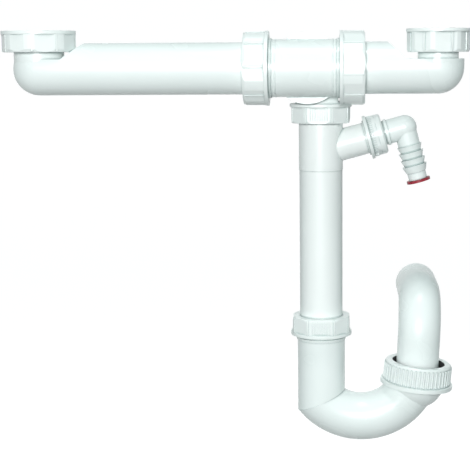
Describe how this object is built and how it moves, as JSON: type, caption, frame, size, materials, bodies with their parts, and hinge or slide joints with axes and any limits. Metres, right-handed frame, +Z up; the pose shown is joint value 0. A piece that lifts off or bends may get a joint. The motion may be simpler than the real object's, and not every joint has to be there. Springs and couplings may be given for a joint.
{
  "type": "sink waste trap",
  "caption": "White sink waste trap: a level header with threaded inlets, a tee, a downpipe with a capped hose spigot, and a U-bend whose ball joint carries the outlet bend to the wall.",
  "frame": {"origin": "centre of the left inlet nut's open mouth, where the waste of the left bowl screws in", "axes": "+X along the header to the right inlet, +Y towards the wall, +Z up, out of the inlet's mouth"},
  "size_m": [0.4196, 0.1442, 0.3871],
  "materials": {
    "pipe": "gloss",
    "nut": "gloss",
    "seal": "matte",
    "cap": "gloss"
  },
  "bodies": {
    "left_arm": {"left_inlet_arm": "pipe", "left_inlet_seal": "seal"},
    "left_inlet_nut": {"left_inlet_nut": "nut"},
    "tee_left_seal": {"tee_left_seal": "seal"},
    "tee_body": {"tee_body": "pipe"},
    "tee_left_nut": {"tee_left_nut": "nut"},
    "tee_right_nut": {"tee_right_nut": "nut"},
    "tee_right_seal": {"tee_right_seal": "seal"},
    "right_arm": {"right_inlet_arm": "pipe", "right_inlet_seal": "seal"},
    "right_inlet_nut": {"right_inlet_nut": "nut"},
    "downpipe": {"downpipe": "pipe", "downpipe_seal": "seal"},
    "downpipe_nut": {"downpipe_nut": "nut"},
    "hose_nut": {"hose_nut": "nut"},
    "hose_elbow": {"hose_elbow": "pipe", "hose_seal": "seal"},
    "hose_cap": {"hose_cap": "cap"},
    "trap_inlet_nut": {"trap_inlet_nut": "nut"},
    "trap_inlet_seal": {"trap_inlet_seal": "seal"},
    "u_bend": {"u_bend": "pipe"},
    "outlet_nut": {"outlet_nut": "nut"},
    "outlet_seal": {"outlet_seal": "seal"},
    "outlet_bend": {"outlet_bend": "pipe"}
  },
  "joints": [
    {"name": "left_inlet_nut_turn", "type": "hinge", "parent": "left_arm", "child": "left_inlet_nut", "pos_m": [0, 0, -0.01], "axis": [0, 0, 1], "continuous": true},
    {"name": "tee_slide", "type": "slide", "parent": "left_arm", "child": "tee_left_seal", "axis": [1, 0, 0], "range_m": [-0.012, 0.012]},
    {"name": "tee_turn", "type": "hinge", "parent": "tee_left_seal", "child": "tee_body", "pos_m": [0.2386, 0, -0.0342], "axis": [1, 0, 0], "range_deg": [-90, 90]},
    {"name": "tee_left_nut_turn", "type": "hinge", "parent": "tee_body", "child": "tee_left_nut", "pos_m": [0.195, 0, -0.0342], "axis": [1, 0, 0], "continuous": true},
    {"name": "tee_right_nut_turn", "type": "hinge", "parent": "tee_body", "child": "tee_right_nut", "pos_m": [0.282, 0, -0.0342], "axis": [1, 0, 0], "continuous": true},
    {"name": "right_arm_turn", "type": "hinge", "parent": "tee_body", "child": "tee_right_seal", "pos_m": [0.286, 0, -0.0342], "axis": [1, 0, 0], "range_deg": [-90, 90]},
    {"name": "right_arm_slide", "type": "slide", "parent": "tee_right_seal", "child": "right_arm", "axis": [1, 0, 0], "range_m": [-0.012, 0.012]},
    {"name": "right_inlet_nut_turn", "type": "hinge", "parent": "right_arm", "child": "right_inlet_nut", "pos_m": [0.3577, 0, -0.01], "axis": [0, 0, 1], "continuous": true},
    {"name": "downpipe_turn", "type": "hinge", "parent": "tee_body", "child": "downpipe", "pos_m": [0.2528, 0.03, -0.08], "axis": [0, 0, 1], "continuous": true},
    {"name": "downpipe_nut_turn", "type": "hinge", "parent": "tee_body", "child": "downpipe_nut", "pos_m": [0.2528, 0.03, -0.075], "axis": [0, 0, 1], "continuous": true},
    {"name": "hose_nut_turn", "type": "hinge", "parent": "downpipe", "child": "hose_nut", "pos_m": [0.30296, 0.03, -0.09648], "axis": [0.9646, 0, 0.2639], "continuous": true},
    {"name": "hose_elbow_turn", "type": "hinge", "parent": "downpipe", "child": "hose_elbow", "pos_m": [0.31067, 0.03, -0.09437], "axis": [0.9646, 0, 0.2639], "range_deg": [-100, 100]},
    {"name": "hose_cap_pull", "type": "slide", "parent": "hose_elbow", "child": "hose_cap", "axis": [0.2639, 0, -0.9646], "range_m": [0, 0.012]},
    {"name": "trap_slide", "type": "slide", "parent": "downpipe", "child": "trap_inlet_seal", "axis": [0, 0, 1], "range_m": [-0.012, 0.02]},
    {"name": "trap_turn", "type": "hinge", "parent": "trap_inlet_seal", "child": "u_bend", "pos_m": [0.2528, 0.03, -0.29], "axis": [0, 0, 1], "continuous": true},
    {"name": "trap_inlet_nut_turn", "type": "hinge", "parent": "u_bend", "child": "trap_inlet_nut", "pos_m": [0.2528, 0.03, -0.275], "axis": [0, 0, 1], "continuous": true},
    {"name": "outlet_swivel", "type": "hinge", "parent": "u_bend", "child": "outlet_seal", "pos_m": [0.34323, 0.03, -0.32871], "axis": [0.1028, 0, 0.9947], "range_deg": [-230, 55]},
    {"name": "outlet_tilt", "type": "hinge", "parent": "outlet_seal", "child": "outlet_bend", "pos_m": [0.34323, 0.03, -0.32871], "axis": [0, 1, 0], "range_deg": [-6, 12]},
    {"name": "outlet_nut_turn", "type": "hinge", "parent": "u_bend", "child": "outlet_nut", "pos_m": [0.34323, 0.03, -0.32871], "axis": [0.1028, 0, 0.9947], "continuous": true}
  ]
}
